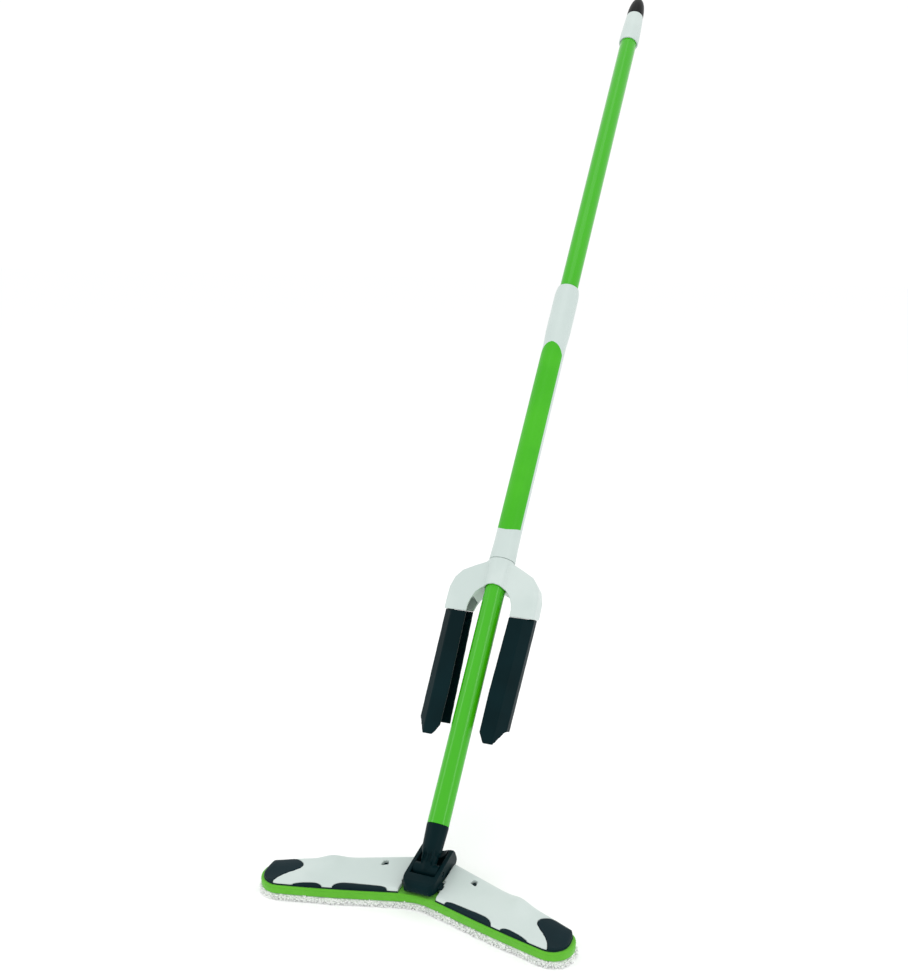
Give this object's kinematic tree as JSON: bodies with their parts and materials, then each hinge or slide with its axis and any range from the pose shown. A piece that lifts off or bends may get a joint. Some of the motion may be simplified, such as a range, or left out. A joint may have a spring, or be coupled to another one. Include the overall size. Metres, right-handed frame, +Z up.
{
  "type": "self-wringing flat mop",
  "caption": "Flat mop with a V-shaped head of two folding wings, a tilting tube handle and a sliding two-jaw wringer that squeezes the folded wings.",
  "frame": {"origin": "on the floor under the middle of the mop head, on the underside of the pad", "axes": "+Z up, +X to the mop's right wing, +Y towards the user, the way the handle leans"},
  "size_m": [0.358, 0.9632, 1.064],
  "materials": {
    "handle_paint": "glossy bright green paint on a thin metal tube",
    "white_plastic": "semi-gloss moulded off-white plastic",
    "dark_plastic": "satin moulded plastic, very dark blue-green grey",
    "bumper_rubber": "soft moulded dark rubber",
    "cap_rubber": "satin black rubber",
    "grip_green": "satin moulded green plastic with a fine grain",
    "band_fabric": "woven green binding with stitches",
    "pad_pile": "white looped microfibre pile",
    "pin_steel": "plain steel pins, screws and rivet"
  },
  "bodies": {
    "pole": {"lower_tube": "handle_paint", "upper_tube": "handle_paint", "tube_joiner": "dark_plastic", "end_cap": "white_plastic", "end_cap_tip": "cap_rubber", "socket": "dark_plastic", "socket_rivet": "pin_steel"},
    "cradle": {"cradle": "dark_plastic", "tilt_pin": "pin_steel", "hinge_pin_left": "pin_steel", "hinge_pin_right": "pin_steel", "pad_centre_band": "band_fabric", "pad_centre_pile": "pad_pile"},
    "left_wing": {"base_plate_left": "white_plastic", "shell_left": "white_plastic", "bumper_left": "bumper_rubber", "long_trim_left": "bumper_rubber", "short_trim_left": "bumper_rubber", "latch_left": "dark_plastic", "pad_band_left": "band_fabric", "pad_pile_left": "pad_pile"},
    "right_wing": {"base_plate_right": "white_plastic", "shell_right": "white_plastic", "bumper_right": "bumper_rubber", "long_trim_right": "bumper_rubber", "short_trim_right": "bumper_rubber", "latch_right": "dark_plastic", "pad_band_right": "band_fabric", "pad_pile_right": "pad_pile"},
    "wringer": {"sleeve": "white_plastic", "grip_panel": "grip_green", "upper_bush": "dark_plastic", "lower_bush": "dark_plastic", "fork": "white_plastic", "jaw_left": "dark_plastic", "jaw_right": "dark_plastic", "jaw_screw_left": "pin_steel", "jaw_screw_right": "pin_steel"}
  },
  "joints": [
    {"name": "tilt", "type": "hinge", "parent": "pole", "child": "cradle", "pos_m": [0, -0.0055, 0.0305], "axis": [1, 0, 0], "range_deg": [-55.9, 19.1]},
    {"name": "left_fold", "type": "hinge", "parent": "cradle", "child": "left_wing", "pos_m": [-0.021, 0, 0.0195], "axis": [0, -1, 0], "range_deg": [-8, 90], "deforming": ["pad_centre_band", "pad_centre_pile"]},
    {"name": "right_fold", "type": "hinge", "parent": "cradle", "child": "right_wing", "pos_m": [0.021, 0, 0.0195], "axis": [0, 1, 0], "range_deg": [-8, 90]},
    {"name": "wringer_slide", "type": "slide", "parent": "pole", "child": "wringer", "axis": [0, 0.6547, 0.7559], "range_m": [-0.12, 0.46]}
  ]
}
